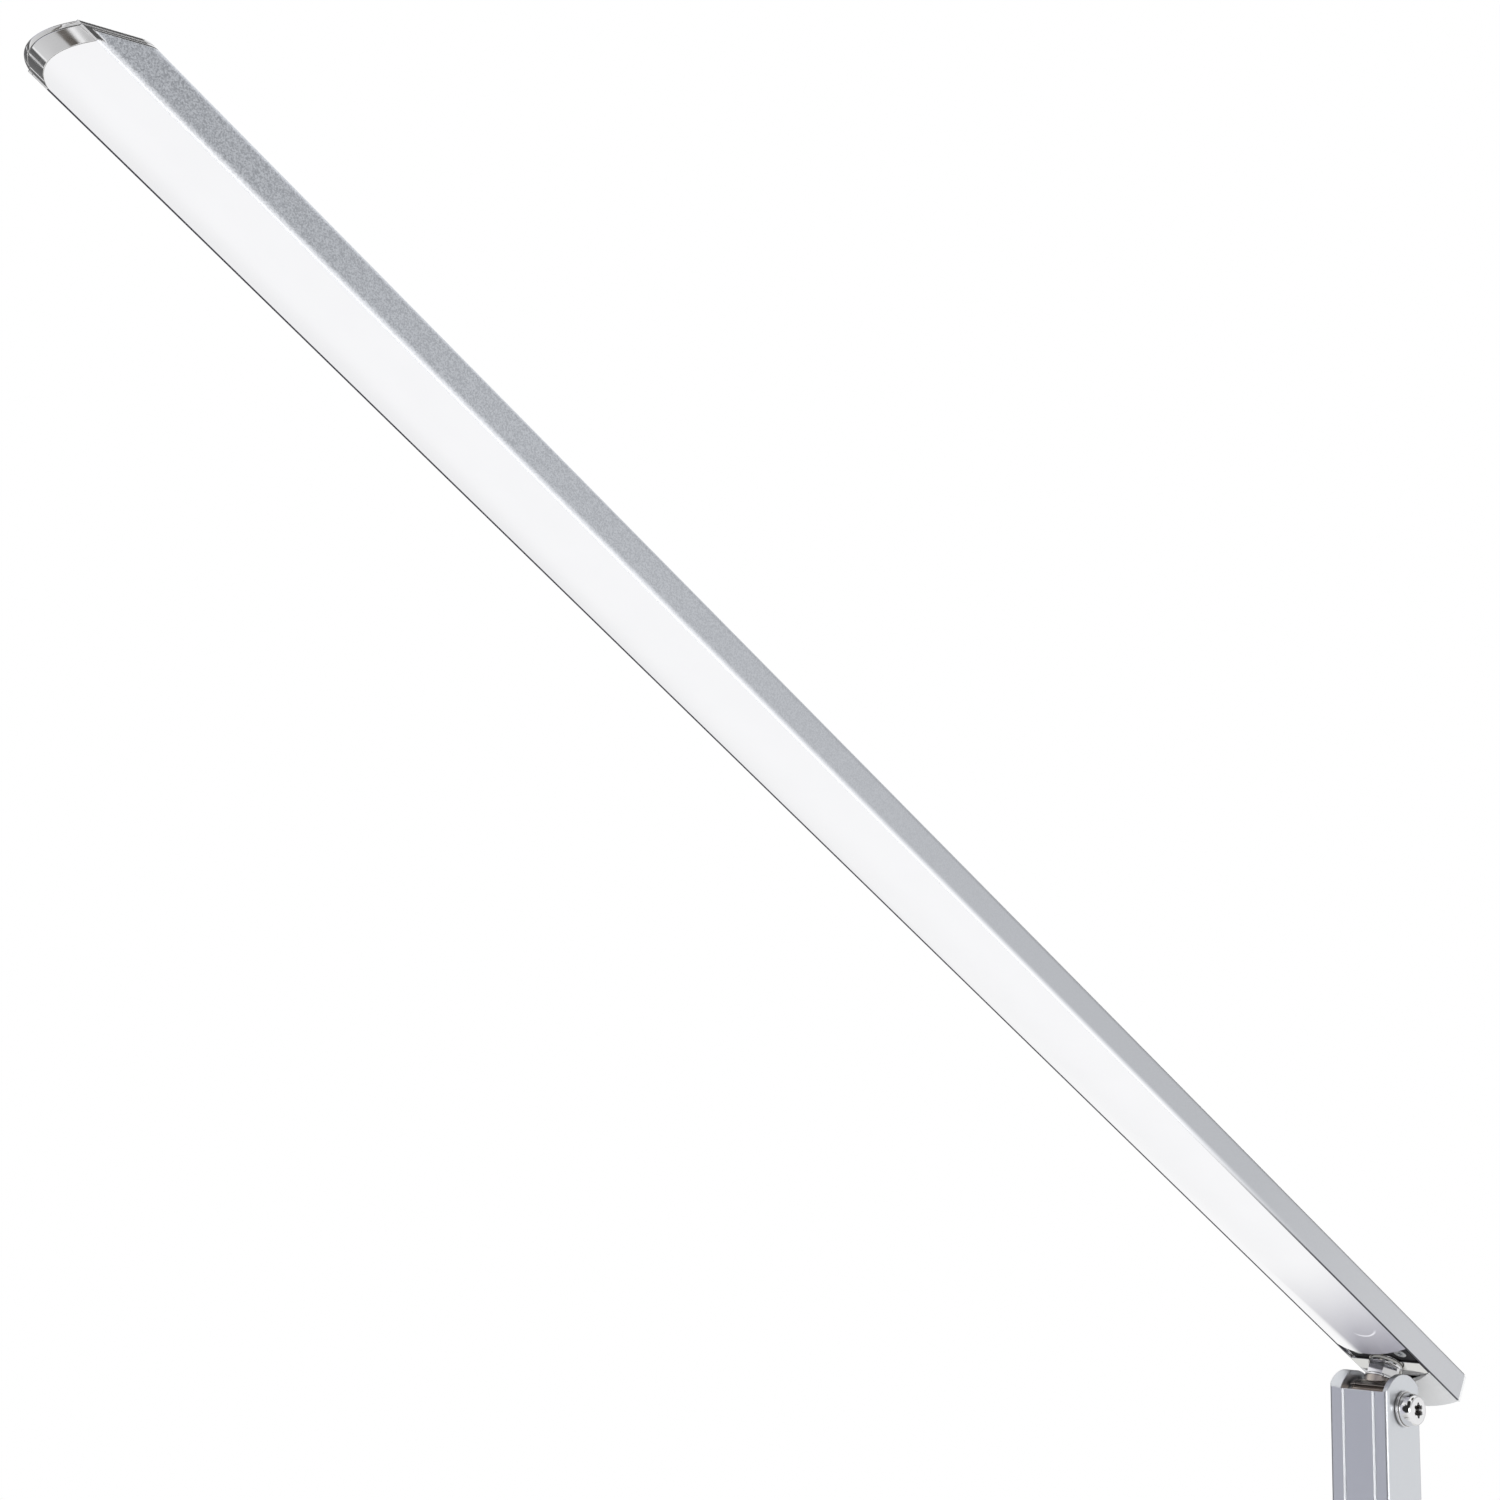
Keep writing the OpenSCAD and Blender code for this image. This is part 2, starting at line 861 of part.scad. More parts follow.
// Domed foot below, a rim behind the plate, and a plug that locates it in the housing
module tip_cap() {
  plug_half = lens_half - leg_t - 0.2;
  color("gainsboro")
    on_bar() {
      nose_slab(u_tip - plate_t - cap_gap - cap_rim, u_tip - plate_t - cap_gap);
      intersection() {
        nose_slab(u_lens_end + cap_gap, u_tip - plate_t - cap_gap);
        bar_box(bar_w, [0, 2 * u_tip], [-2 * dome_rise, cap_lip]);
      }
      intersection() {
        across_bar(nose(u_lens_end - 20, u_tip - plate_t), 2 * bar_w);
        union() {
          bar_box(plug_half, [u_lens_end - 8, u_tip], [leg_top + 0.2, shelf_z - 0.1]);
          bar_box(plug_half, [u_lens_end + cap_gap, u_tip], [0, shelf_z - 0.2]);
        }
      }
    }
}

module tip_plate() {
  color("gainsboro")
    on_bar()
      nose_slab(u_tip - plate_t + seat, u_tip);
}

// ---- Light source and electronics ----

function board_screw_u() = [for (i = [0:3])
  board_u[0] + led_end + led_pitch() * (round((led_count - 2) * i / 3) + 0.5)];

function led_pitch() = (board_u[1] - board_u[0] - 2 * led_end) / (led_count - 1);

function board_top() = shelf_z - pad_film_t;

module screw_holes_in_board(z) {
  for (u = board_screw_u())
    at_bar(0, u, z)
      cylinder(d = screw_d + 0.2, h = 4, $fn = 32);
}

module led_board() {
  color("white")
    on_bar()
      difference() {
        bar_box(board_w / 2, board_u, [board_top() - board_t, board_top() - seat]);
        screw_holes_in_board(1);
      }
}

module thermal_pad() {
  color("lightgray")
    on_bar()
      difference() {
        bar_box(board_w / 2 - 0.5, board_u, [board_top(), shelf_z - seat]);
        screw_holes_in_board(2);
      }
}

module led_packages() {
  base = board_top() - board_t;
  color("khaki")
    on_bar()
      for (i = [0:led_count - 1])
        at_bar(0, board_u[0] + led_end + i * led_pitch(), base - led_size[2])
          translate([-led_size[0] / 2, -led_size[1] / 2, 0])
            cube([led_size[0], led_size[1], led_size[2] - seat]);
}

module board_screws() {
  color("gray")
    on_bar()
      for (u = board_screw_u())
        at_bar(0, u, board_top() - board_t - seat)
          pan_screw(screw_d, screw_head_d, screw_head_h, board_t + pad_film_t + shelf_t);
}

module board_insulator() {
  color("orange")
    on_bar()
      bar_box(control_w / 2, control_u, [shelf_z + shelf_t + seat, control_z - seat]);
}

module control_board() {
  color("seagreen")
    on_bar()
      bar_box(control_w / 2, control_u, [control_z, control_z + control_t]);
}

// Driver chip, inductor, two capacitors and a row of resistors
module control_parts() {
  top = control_z + control_t + seat;
  color("black")
    on_bar() {
      at_bar(-2.5, 38, top)
        cube([5, 4, 1]);
      at_bar(0, 46, top)
        cylinder(d = 6, h = 1.25, $fn = 48);
      for (x = [-4.5, 2])
        at_bar(x, 54, top)
          cube([2.5, 3.2, 1.1]);
      for (i = [0:4])
        at_bar(-5.6 + i * 2.6, 62, top)
          cube([0.8, 1.6, 0.5]);
    }
}

module lead_socket() {
  top = control_z + control_t + seat;
  color("ivory")
    on_bar()
      difference() {
        at_bar(-socket[0] / 2, control_u[0] + 3 + socket[1], top)
          cube(socket);
        for (side = [-1, 1])
          at_bar(side * lead_x, 0, lead_run_z)
            rotate([90, 0, 0])
              cylinder(r = lead_r + seat, h = control_u[0] + 5.5, $fn = 24);
      }
}

module head_leads() {
  color("firebrick")
    on_bar()
      for (side = [-1, 1])
        at_bar(side * lead_x, 0, lead_run_z)
          rotate([90, 0, 0])
            cylinder(r = lead_r, h = control_u[0] + 5, $fn = 24);
}

module led_leads() {
  color("black")
    on_bar()
      for (side = [-1, 1])
        lead([
          [side * 3.4, -control_u[0] - 2, control_z + control_t + lead_r + 0.02],
          [side * 3.4, -12.3, control_z + control_t + lead_r + 0.02],
          [side * 3.4, -12.3, board_top() - board_t - lead_r - 0.1],
          [side * 3.4, -board_u[0] - 2, board_top() - board_t - lead_r - 0.02]
        ], lead_r);
}

post();
foot_plug();
foot_pad();
foot_screws();
mounting_stud();
cable_grommet();
supply_cable();
supply_plug();
hinge_bolt();
bolt_washer();
thread_insert();
friction_washers();
knuckle();
hinge_bushes();
swivel_tube();
swivel_lock_nut();
slide_washer();
stop_washer();
disc_spring();
retaining_nut();
knuckle_leads();
swivel_plate();
swivel_plate_screws();
light_seal();
anchor_plate();
housing();
diffuser();
end_cover();
end_cover_screws();
tip_cap();
tip_plate();
led_board();
led_packages();
thermal_pad();
board_screws();
control_board();
board_insulator();
control_parts();
lead_socket();
head_leads();
led_leads();
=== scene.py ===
import json
import math

import bmesh
import bpy
from mathutils import Matrix, Vector


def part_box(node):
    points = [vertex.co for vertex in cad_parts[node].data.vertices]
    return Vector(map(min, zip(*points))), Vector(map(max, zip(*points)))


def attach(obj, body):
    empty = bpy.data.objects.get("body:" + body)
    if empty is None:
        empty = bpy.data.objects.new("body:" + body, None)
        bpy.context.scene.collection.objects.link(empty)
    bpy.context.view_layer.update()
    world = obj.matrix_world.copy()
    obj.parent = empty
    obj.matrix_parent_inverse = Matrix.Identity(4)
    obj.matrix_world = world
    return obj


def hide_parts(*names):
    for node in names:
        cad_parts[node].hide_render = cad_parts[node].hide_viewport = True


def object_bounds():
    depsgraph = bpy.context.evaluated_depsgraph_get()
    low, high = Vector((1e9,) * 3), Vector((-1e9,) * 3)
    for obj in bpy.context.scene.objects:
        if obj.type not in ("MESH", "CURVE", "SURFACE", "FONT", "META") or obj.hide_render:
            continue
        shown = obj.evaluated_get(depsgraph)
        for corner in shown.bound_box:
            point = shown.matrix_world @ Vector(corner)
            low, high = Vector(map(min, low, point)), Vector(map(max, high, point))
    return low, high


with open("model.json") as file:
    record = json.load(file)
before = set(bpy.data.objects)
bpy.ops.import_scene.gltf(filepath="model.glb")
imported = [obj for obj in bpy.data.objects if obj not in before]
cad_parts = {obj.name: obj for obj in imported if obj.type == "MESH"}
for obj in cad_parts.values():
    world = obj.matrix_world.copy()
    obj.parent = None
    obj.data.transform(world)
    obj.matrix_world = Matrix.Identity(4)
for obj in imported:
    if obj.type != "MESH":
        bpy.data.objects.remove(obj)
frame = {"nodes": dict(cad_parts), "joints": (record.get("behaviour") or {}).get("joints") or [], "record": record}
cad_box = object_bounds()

MM = 0.001
NODES = frame["nodes"]
RECORD = frame["record"]
SLOT_OF = {part["node"]: part["material_slot"] for part in RECORD["subparts"]}
JOINTS = {joint["name"]: joint for joint in frame["joints"]}

# The light bar's own directions: across it, out of its top, and along it to the tip
NECK = Vector(JOINTS["bar_swivel"]["pos_m"])
ACROSS = Vector((1, 0, 0))
BAR_UP = Vector(JOINTS["bar_swivel"]["axis"]).normalized()
ALONG = ACROSS.cross(BAR_UP)

# Bands over which a look fades in: where it starts and where it is full, in mm.
# Measured from the neck towards the tip:
LEFT_LIP_ALONG = (0, 5)         # dark line along the left lip
GLOW_ALONG = (5, 62)            # the diffuser's glow
SPILL_ALONG = (50, 140)         # the glow that spills onto the right side's low edge
SATIN_ALONG = (0, 100)          # the even grey of the bar's middle
BLAST_ALONG = (100, 480)        # the coarser blasting of the tip
# Measured up from the bar's underside:
BAR_UPWARD = (-1.0, 0)          # the bar, and not the post below it
INSIDE_UPWARD = (0, 0.1)        # the diffuser's hidden part
SPILL_UPWARD = (1.7, 0)
LEFT_LIP_UPWARD = (0.8, 0.5)
RIGHT_LIP_UPWARD = (0.3, 0.1)
# Measured out from the bar's middle plane:
LIP_OUTWARD = (11.2, 11.4)
SPILL_OUTWARD = (11.2, 11.5)

LAMP_WHITE = (0.985, 0.985, 1.0, 1)
WHITE = (1, 1, 1, 1)


# ---- Node helpers ----

def feed(tree, socket, value):
    """Links a value that is itself a socket, and sets any other."""
    if isinstance(value, bpy.types.NodeSocket):
        tree.links.new(value, socket)
    else:
        socket.default_value = value


def add(tree, kind, settings=None, **inputs):
    """One shader node with its settings and inputs."""
    made = tree.nodes.new("ShaderNode" + kind)
    for key, value in (settings or {}).items():
        setattr(made, key, value)
    for key, value in inputs.items():
        feed(tree, made.inputs[key.replace("_", " ")], value)
    return made


def calc(tree, operation, a, b=0.0, c=0.0, clamp=False):
    """The result of a math node on up to three values or sockets."""
    made = add(tree, "Math", {"operation": operation, "use_clamp": clamp})
    for socket, value in zip(made.inputs, (a, b, c)):
        feed(tree, socket, value)
    return made.outputs[0]


def vector_calc(tree, operation, a, b=(0, 0, 0), output="Vector"):
    """The result of a vector math node on one or two vectors or sockets."""
    made = add(tree, "VectorMath", {"operation": operation})
    for socket, value in zip(made.inputs, (a, b)):
        feed(tree, socket, value)
    return made.outputs[output]


def dot(tree, a, b):
    return vector_calc(tree, "DOT_PRODUCT", a, b, "Value")


def spread(tree, value, low, high, to_low=0.0, to_high=1.0):
    """Maps low..high smoothly to to_low..to_high."""
    made = add(tree, "MapRange", {"interpolation_type": "SMOOTHSTEP"}, Value=value,
               From_Min=low, From_Max=high, To_Min=to_low, To_Max=to_high)
    return made.outputs["Result"]


def fade(tree, distance, band):
    """0 where the band starts, smoothly up to 1 where it is full."""
    start, full = band
    return spread(tree, distance, start * MM, full * MM)


def tint(tree, factor, first, second):
    """Mixes two colours, each a tuple or a socket."""
    made = add(tree, "Mix", {"data_type": "RGBA"})
    colour_inputs = [socket for socket in made.inputs if socket.type == "RGBA"]
    feed(tree, made.inputs["Factor"], factor)
    feed(tree, colour_inputs[0], first)
    feed(tree, colour_inputs[1], second)
    return next(socket for socket in made.outputs if socket.type == "RGBA")


def steps(tree, value, stops):
    """A smooth colour ramp through (position, colour) stops."""
    made = add(tree, "ValToRGB", Fac=value)
    ramp = made.color_ramp
    ramp.interpolation = "EASE"
    while len(ramp.elements) < len(stops):
        ramp.elements.new(0.5)
    for element, (position, colour) in zip(ramp.elements, stops):
        element.position = position
        element.color = (*colour, 1)
    return made.outputs[0]


def rgba(colour, gain=1.0):
    return (*[min(1.0, channel * gain) for channel in colour], 1)


def grey(value, warmth=0.0):
    return (value * (1 + warmth), value, value * (1 - warmth))


# ---- Parts that the materials share ----

def start_material(name):
    """An empty node material with a Principled surface, and its place on the object."""
    material = bpy.data.materials.new(name)
    material.use_nodes = True
    tree = material.node_tree
    tree.nodes.clear()
    output = tree.nodes.new("ShaderNodeOutputMaterial")
    surface = tree.nodes.new("ShaderNodeBsdfPrincipled")
    tree.links.new(surface.outputs[0], output.inputs["Surface"])
    place = tree.nodes.new("ShaderNodeTexCoord").outputs["Object"]
    return material, tree, surface, place


def from_neck(tree, place, direction):
    """How far a place on the object lies from the neck in one direction."""
    return calc(tree, "SUBTRACT", dot(tree, place, direction), NECK.dot(direction))


def grain(tree, place, size_mm, stretch=(1, 1, 1), detail=3.0):
    """Noise with features of about size_mm, drawn out along the axes with a stretch below 1."""
    scaled = vector_calc(tree, "MULTIPLY", place, stretch)
    noise = add(tree, "TexNoise", Vector=scaled, Scale=1 / (size_mm * MM),
                Detail=detail, Roughness=0.6)
    return noise.outputs["Fac"]


def soft_edges(tree, radius_mm):
    """The normal of rounded edges, and a mask that is 1 on them and 0 on flats."""
    flat_cosine = 0.995     # between the rounded normal and the face's own
    edge_cosine = 0.8
    rounded = add(tree, "Bevel", {"samples": 6}, Radius=radius_mm * MM).outputs[0]
    own_normal = tree.nodes.new("ShaderNodeNewGeometry").outputs["Normal"]
    cosine = dot(tree, rounded, own_normal)
    return rounded, spread(tree, cosine, flat_cosine, edge_cosine)


def varied(tree, noise, low, high):
    """A value that follows noise smoothly from low to high."""
    noise_low, noise_high = 0.2, 0.8
    return spread(tree, noise, noise_low, noise_high, low, high)


def relief(tree, height, depth_mm, normal=None):
    """Bump from a 0..1 height, as deep as depth_mm, on top of a normal if one is given."""
    bump = add(tree, "Bump", Height=height, Strength=1.0, Distance=depth_mm * MM)
    if normal is not None:
        tree.links.new(normal, bump.inputs["Normal"])
    return bump.outputs[0]


def finish_surface(tree, surface, colour, roughness, normal, metallic=0.0):
    """Feeds a Principled surface with what most materials have."""
    feed(tree, surface.inputs["Base Color"], colour)
    feed(tree, surface.inputs["Roughness"], roughness)
    feed(tree, surface.inputs["Normal"], normal)
    surface.inputs["Metallic"].default_value = metallic


# ---- Materials ----

def metal(name, colour, rough, grain_mm=0.3, bump_mm=0.002, stretch=(1, 1, 1), wear=0.3):
    """Bare or plated metal: fine grain, patchy polish and brighter, smoother edges."""
    patch_mm = 14
    edge_mm = 0.2
    dull, bright, worn_bright = 0.95, 1.05, 1.25            # gains of the colour
    grain_share, grain_base, edge_share = 0.5, 0.75, 0.4    # of the roughness
    material, tree, surface, place = start_material(name)
    fine = grain(tree, place, grain_mm, stretch)
    patches = grain(tree, place, patch_mm, detail=2.0)
    rounded, on_edge = soft_edges(tree, edge_mm)
    edges = calc(tree, "MULTIPLY", on_edge, wear)
    patchy = tint(tree, patches, rgba(colour, dull), rgba(colour, bright))
    worn = tint(tree, edges, patchy, rgba(colour, worn_bright))
    speckled = calc(tree, "MULTIPLY_ADD", fine, rough * grain_share, rough * grain_base)
    polished = calc(tree, "MULTIPLY", edges, rough * edge_share)
    roughness = calc(tree, "SUBTRACT", speckled, polished, clamp=True)
    normal = relief(tree, fine, bump_mm, rounded)
    finish_surface(tree, surface, worn, roughness, normal, metallic=1.0)
    return material


def moulded(name, colour, rough, grain_mm=0.25, bump_mm=0.01, coat=0.0):
    """Moulded plastic or rubber: fine skin texture, slight mottling and scuffed edges."""
    mottle_mm = 9
    edge_mm = 0.25
    dull, bright = 0.93, 1.04       # gains of the colour
    scuff_pale, scuff_strength = 0.2, 0.25
    smoother, rougher = 0.85, 1.15
    material, tree, surface, place = start_material(name)
    fine = grain(tree, place, grain_mm)
    mottle = grain(tree, place, mottle_mm, detail=2.0)
    rounded, on_edge = soft_edges(tree, edge_mm)
    scuffs = calc(tree, "MULTIPLY", on_edge, scuff_strength)
    mottled = tint(tree, mottle, rgba(colour, dull), rgba(colour, bright))
    paler = [channel * (1 - scuff_pale) + scuff_pale for channel in colour]
    scuffed = tint(tree, scuffs, mottled, rgba(paler))
    roughness = varied(tree, fine, rough * smoother, min(1.0, rough * rougher))
    normal = relief(tree, fine, bump_mm, rounded)
    finish_surface(tree, surface, scuffed, roughness, normal)
    surface.inputs["Coat Weight"].default_value = coat
    surface.inputs["Coat Roughness"].default_value = 0.08
    return material


def blasted_grey(tree, above, along, speckle):
    """Even grey near the neck that turns into dark and light specks towards the tip."""
    post_grey = (0.70, 0.72, 0.75, 1)
    neck_grey = (0.64, 0.65, 0.675, 1)
    middle_grey = (0.56, 0.575, 0.605, 1)
    dark_speck = (0.56, 0.585, 0.63, 1)
    light_speck = (0.80, 0.83, 0.88, 1)
    speck_low, speck_high = 0.36, 0.64      # of the noise
    start_grey = tint(tree, fade(tree, above, BAR_UPWARD), post_grey, neck_grey)
    even = tint(tree, fade(tree, along, SATIN_ALONG), start_grey, middle_grey)
    blasted = fade(tree, along, BLAST_ALONG)
    dark = tint(tree, blasted, even, dark_speck)
    light = tint(tree, blasted, even, light_speck)
    return tint(tree, spread(tree, speckle, speck_low, speck_high), dark, light)


def lip_shadow(tree, above, along, right):
    """Mask of the dark line along the housing's lips, where no light spills on them."""
    left = calc(tree, "MULTIPLY", right, -1.0)
    on_left = calc(tree, "MULTIPLY", fade(tree, left, LIP_OUTWARD),
                   fade(tree, above, LEFT_LIP_UPWARD))
    on_right = calc(tree, "MULTIPLY", fade(tree, right, LIP_OUTWARD),
                    fade(tree, above, RIGHT_LIP_UPWARD))
    unlit = fade(tree, along, SPILL_ALONG[::-1])
    return calc(tree, "MAXIMUM",
                calc(tree, "MULTIPLY", on_left, fade(tree, along, LEFT_LIP_ALONG)),
                calc(tree, "MULTIPLY", on_right, unlit))


def anodised(name):
    """Satin anodised aluminium with fine blasting, die lines and painted highlights on its edges, lit by the
    diffuser.
    """
    speckle_mm, speckle_depth = 0.32, 0.004
    die_line_mm, die_line_depth, die_line_stretch = 0.5, 0.002, (1, 0.02, 0.02)
    smooth, rough = 0.3, 0.42
    edge_mm, edge_highlight_strength, edge_highlight_grey = 0.35, 0.8, (0.97, 0.97, 0.98, 1)
    shadow_grey = (0.09, 0.09, 0.11, 1)
    spill_strength = 0.5
    material, tree, surface, place = start_material(name)
    speckle = grain(tree, place, speckle_mm, detail=2.0)
    die_lines = grain(tree, place, die_line_mm, die_line_stretch, 2.0)
    along = from_neck(tree, place, ALONG)
    above = from_neck(tree, place, BAR_UP)
    right = from_neck(tree, place, ACROSS)
    rounded, on_edge = soft_edges(tree, edge_mm)
    # Painted highlight: the rounded edges are drawn in a near-white grey.
    bright = tint(tree, calc(tree, "MULTIPLY", on_edge, edge_highlight_strength),
                  blasted_grey(tree, above, along, speckle), edge_highlight_grey)
    shaded = tint(tree, lip_shadow(tree, above, along, right), bright, shadow_grey)
    roughness = spread(tree, speckle, 0.25, 0.75, smooth, rough)
    fine = relief(tree, speckle, speckle_depth, rounded)
    normal = relief(tree, die_lines, die_line_depth, fine)
    finish_surface(tree, surface, shaded, roughness, normal, metallic=1.0)
    low_edge = calc(tree, "MULTIPLY", fade(tree, above, SPILL_UPWARD),
                    fade(tree, right, SPILL_OUTWARD))
    spill = calc(tree, "MULTIPLY", fade(tree, along, SPILL_ALONG), low_edge)
    surface.inputs["Emission Color"].default_value = LAMP_WHITE
    feed(tree, surface.inputs["Emission Strength"],
         calc(tree, "MULTIPLY", spill, spill_strength))
    return material


def chrome(name):
    """Bright nickel-chrome plate with polishing haze, hairline scratches and painted shade in its crevices."""
    haze_mm = 6
    hairline_mm, hairline_depth, hairline_stretch = 0.12, 0.0006, (0.04, 1, 1)
    edge_mm = 0.15
    crevice_mm, crevice_shade_colour = 2.0, (0.10, 0.09, 0.08, 1)
    closed, open_air = 0.4, 0.85        # how open a crevice and a flat are
    smooth, rough = 0.04, 0.11
    hazy = (0.80, 0.80, 0.81, 1)
    clear = (0.9, 0.9, 0.91, 1)
    material, tree, surface, place = start_material(name)
    haze = grain(tree, place, haze_mm, detail=4.0)
    hairlines = grain(tree, place, hairline_mm, hairline_stretch, 1.0)
    # Painted shade: the plate turns dark brown where ambient occlusion finds a crevice.
    occlusion = add(tree, "AmbientOcclusion", {"samples": 6}, Distance=crevice_mm * MM)
    openness = spread(tree, occlusion.outputs["AO"], closed, open_air)
    plate = tint(tree, haze, hazy, clear)
    rounded, _ = soft_edges(tree, edge_mm)
    finish_surface(tree, surface, tint(tree, openness, crevice_shade_colour, plate),
                   spread(tree, haze, 0.3, 0.7, smooth, rough),
                   relief(tree, hairlines, hairline_depth, rounded), metallic=1.0)
    return material


def crescent(tree, across, along):
    """A painted highlight: half of a thin ring in the diffuser's unlit end, open towards the tip."""
    ring_across, ring_along, ring_r = 5.5, 22.5, 3.4      # mm
    line = (0.5, 0.1)
    ends = (-0.2 * ring_r, -ring_r)
    x = calc(tree, "SUBTRACT", across, ring_across * MM)
    u = calc(tree, "SUBTRACT", along, ring_along * MM)
    squares = calc(tree, "MULTIPLY_ADD", x, x, calc(tree, "MULTIPLY", u, u))
    offset = calc(tree, "SUBTRACT", calc(tree, "SQRT", squares), ring_r * MM)
    on_line = fade(tree, calc(tree, "ABSOLUTE", offset), line)
    return calc(tree, "MULTIPLY", on_line, fade(tree, u, ends))


def opal_lit(name):
    """Opal acrylic lit from behind: dark before the first LED, dimmer at grazing angles, with a painted reflection
    on its flank turned away from the eye and a painted crescent highlight.
    """
    cloud_mm = 12
    pebble_mm, pebble_depth = 0.2, 0.001
    glint_strength = 0.4
    flank_from, flank_full = 0.66, 0.75     # turned away from the eye, where a painted reflection glows all along the bar
    front, side = 0.35, 0.85                # how far the surface turns away from the eye
    front_glow, side_glow = 0.90, 0.80
    gloss, lit_gloss = 0.5, 0.12
    # Painted shade: the diffuser's part inside the housing is drawn near black.
    hidden_shade_colour = (0.03, 0.03, 0.035, 1)
    unlit_colour = (0.47, 0.46, 0.51, 1)
    lit_colour = (0.04, 0.04, 0.04, 1)      # dark, as its brightness is emission
    material, tree, surface, place = start_material(name)
    along = from_neck(tree, place, ALONG)
    outside = fade(tree, from_neck(tree, place, BAR_UP), INSIDE_UPWARD[::-1])
    facing = add(tree, "LayerWeight", Blend=0.5).outputs["Facing"]
    # Painted reflection: the flank turned away from the eye glows as if it mirrored a white surround; glow and lit
    # carry it with the LEDs' light.
    flank = spread(tree, facing, flank_from, flank_full)
    glow = calc(tree, "MAXIMUM", fade(tree, along, GLOW_ALONG), flank)
    lit = calc(tree, "MULTIPLY", glow, outside)
    grazing = spread(tree, facing, front, side, front_glow, side_glow)
    cloud = varied(tree, grain(tree, place, cloud_mm), 0.985, 1.0)
    clouded = calc(tree, "MULTIPLY", lit, calc(tree, "MULTIPLY", grazing, cloud))
    # Painted highlight: a crescent glint drawn as emission in the unlit end.
    glint = crescent(tree, from_neck(tree, place, ACROSS), along)
    unlit = tint(tree, outside, hidden_shade_colour, unlit_colour)
    finish_surface(tree, surface, tint(tree, lit, unlit, lit_colour), 0.3,
                   relief(tree, grain(tree, place, pebble_mm), pebble_depth))
    feed(tree, surface.inputs["Specular IOR Level"],
         spread(tree, lit, 0.0, 1.0, gloss, lit_gloss))
    surface.inputs["Emission Color"].default_value = LAMP_WHITE
    feed(tree, surface.inputs["Emission Strength"],
         calc(tree, "MULTIPLY_ADD", glint, glint_strength, clouded))
    return material


def circuit_board(name, mask_colour, track_colour):
    """Solder mask over copper: a fine grid of raised tracks under a glossy coat."""
    track_mm, track_width, track_depth = 3, 0.06, 0.02
    mask_mm = 0.6
    material, tree, surface, place = start_material(name)
    tracks = add(tree, "TexBrick", Vector=place, Scale=1 / (track_mm * MM),
                 Mortar_Size=track_width).outputs["Fac"]
    mask = grain(tree, place, mask_mm)
    finish_surface(tree, surface, tint(tree, tracks, rgba(mask_colour), rgba(track_colour)),
                   varied(tree, mask, 0.25, 0.4), relief(tree, tracks, track_depth))
    surface.inputs["Coat Weight"].default_value = 0.6
    return material


def phosphor(name):
    """The yellow silicone window of a white LED, glowing."""
    grit_mm, grit_depth = 0.15, 0.01
    deep_yellow, pale_yellow = (0.95, 0.80, 0.30, 1), (1.0, 0.9, 0.5, 1)
    material, tree, surface, place = start_material(name)
    grit = grain(tree, place, grit_mm)
    finish_surface(tree, surface, tint(tree, grit, deep_yellow, pale_yellow),
                   varied(tree, grit, 0.3, 0.5), relief(tree, grit, grit_depth))
    surface.inputs["Emission Color"].default_value = (1, 0.94, 0.8, 1)
    surface.inputs["Emission Strength"].default_value = 1.5
    return material


# How each plain metal, moulding and circuit board looks; grain and bump are in mm
METALS = {
    # Painted reflection: smoked_nickel is the knuckle's chrome drawn darker and bronze-tinted, for the dark bronze
    # reflections seen on it.
    "smoked_nickel": dict(colour=(0.50, 0.45, 0.41), rough=0.24, bump_mm=0.001, wear=0.6),
    "zinc_steel": dict(colour=(0.62, 0.64, 0.66), rough=0.3, grain_mm=0.4, bump_mm=0.004),
    "brass": dict(colour=(0.80, 0.60, 0.28), rough=0.25, grain_mm=0.2, bump_mm=0.003,
                  stretch=(1, 1, 0.1)),
}
MOULDINGS = {
    "white_nylon": dict(colour=(0.84, 0.83, 0.78), rough=0.45),
    "pale_plastic": dict(colour=(0.80, 0.80, 0.79), rough=0.38, grain_mm=0.18, bump_mm=0.004),
    "grey_casting": dict(colour=(0.24, 0.25, 0.27), rough=0.55, grain_mm=0.5, bump_mm=0.03),
    "black_rubber": dict(colour=(0.025, 0.025, 0.027), rough=0.8, grain_mm=0.3, bump_mm=0.02),
    "black_vinyl": dict(colour=(0.02, 0.02, 0.022), rough=0.42, grain_mm=0.2, bump_mm=0.006),
    "red_vinyl": dict(colour=(0.55, 0.03, 0.02), rough=0.35, grain_mm=0.2, bump_mm=0.004),
    "thermal_silicone": dict(colour=(0.50, 0.53, 0.56), rough=0.7, grain_mm=0.3, bump_mm=0.01),
    "amber_film": dict(colour=(0.60, 0.28, 0.04), rough=0.2, grain_mm=0.4, bump_mm=0.002,
                       coat=0.8),
    "black_epoxy": dict(colour=(0.02, 0.02, 0.02), rough=0.5, grain_mm=0.15, bump_mm=0.006),
}
BOARDS = {
    "white_circuit_board": dict(mask_colour=(0.86, 0.86, 0.84), track_colour=(0.78, 0.78, 0.74)),
    "green_circuit_board": dict(mask_colour=(0.02, 0.16, 0.07), track_colour=(0.05, 0.26, 0.12)),
}
ONE_OFFS = {"satin_aluminium": anodised, "polished_chrome": chrome, "opal_acrylic": opal_lit,
            "led_phosphor": phosphor}


def make_materials():
    """One material for each of the record's slots."""
    materials = {name: make(name) for name, make in ONE_OFFS.items()}
    for make, looks in ((metal, METALS), (moulded, MOULDINGS), (circuit_board, BOARDS)):
        for name, look in looks.items():
            materials[name] = make(name, **look)
    return materials


# ---- CAD nodes: materials and softened edges ----

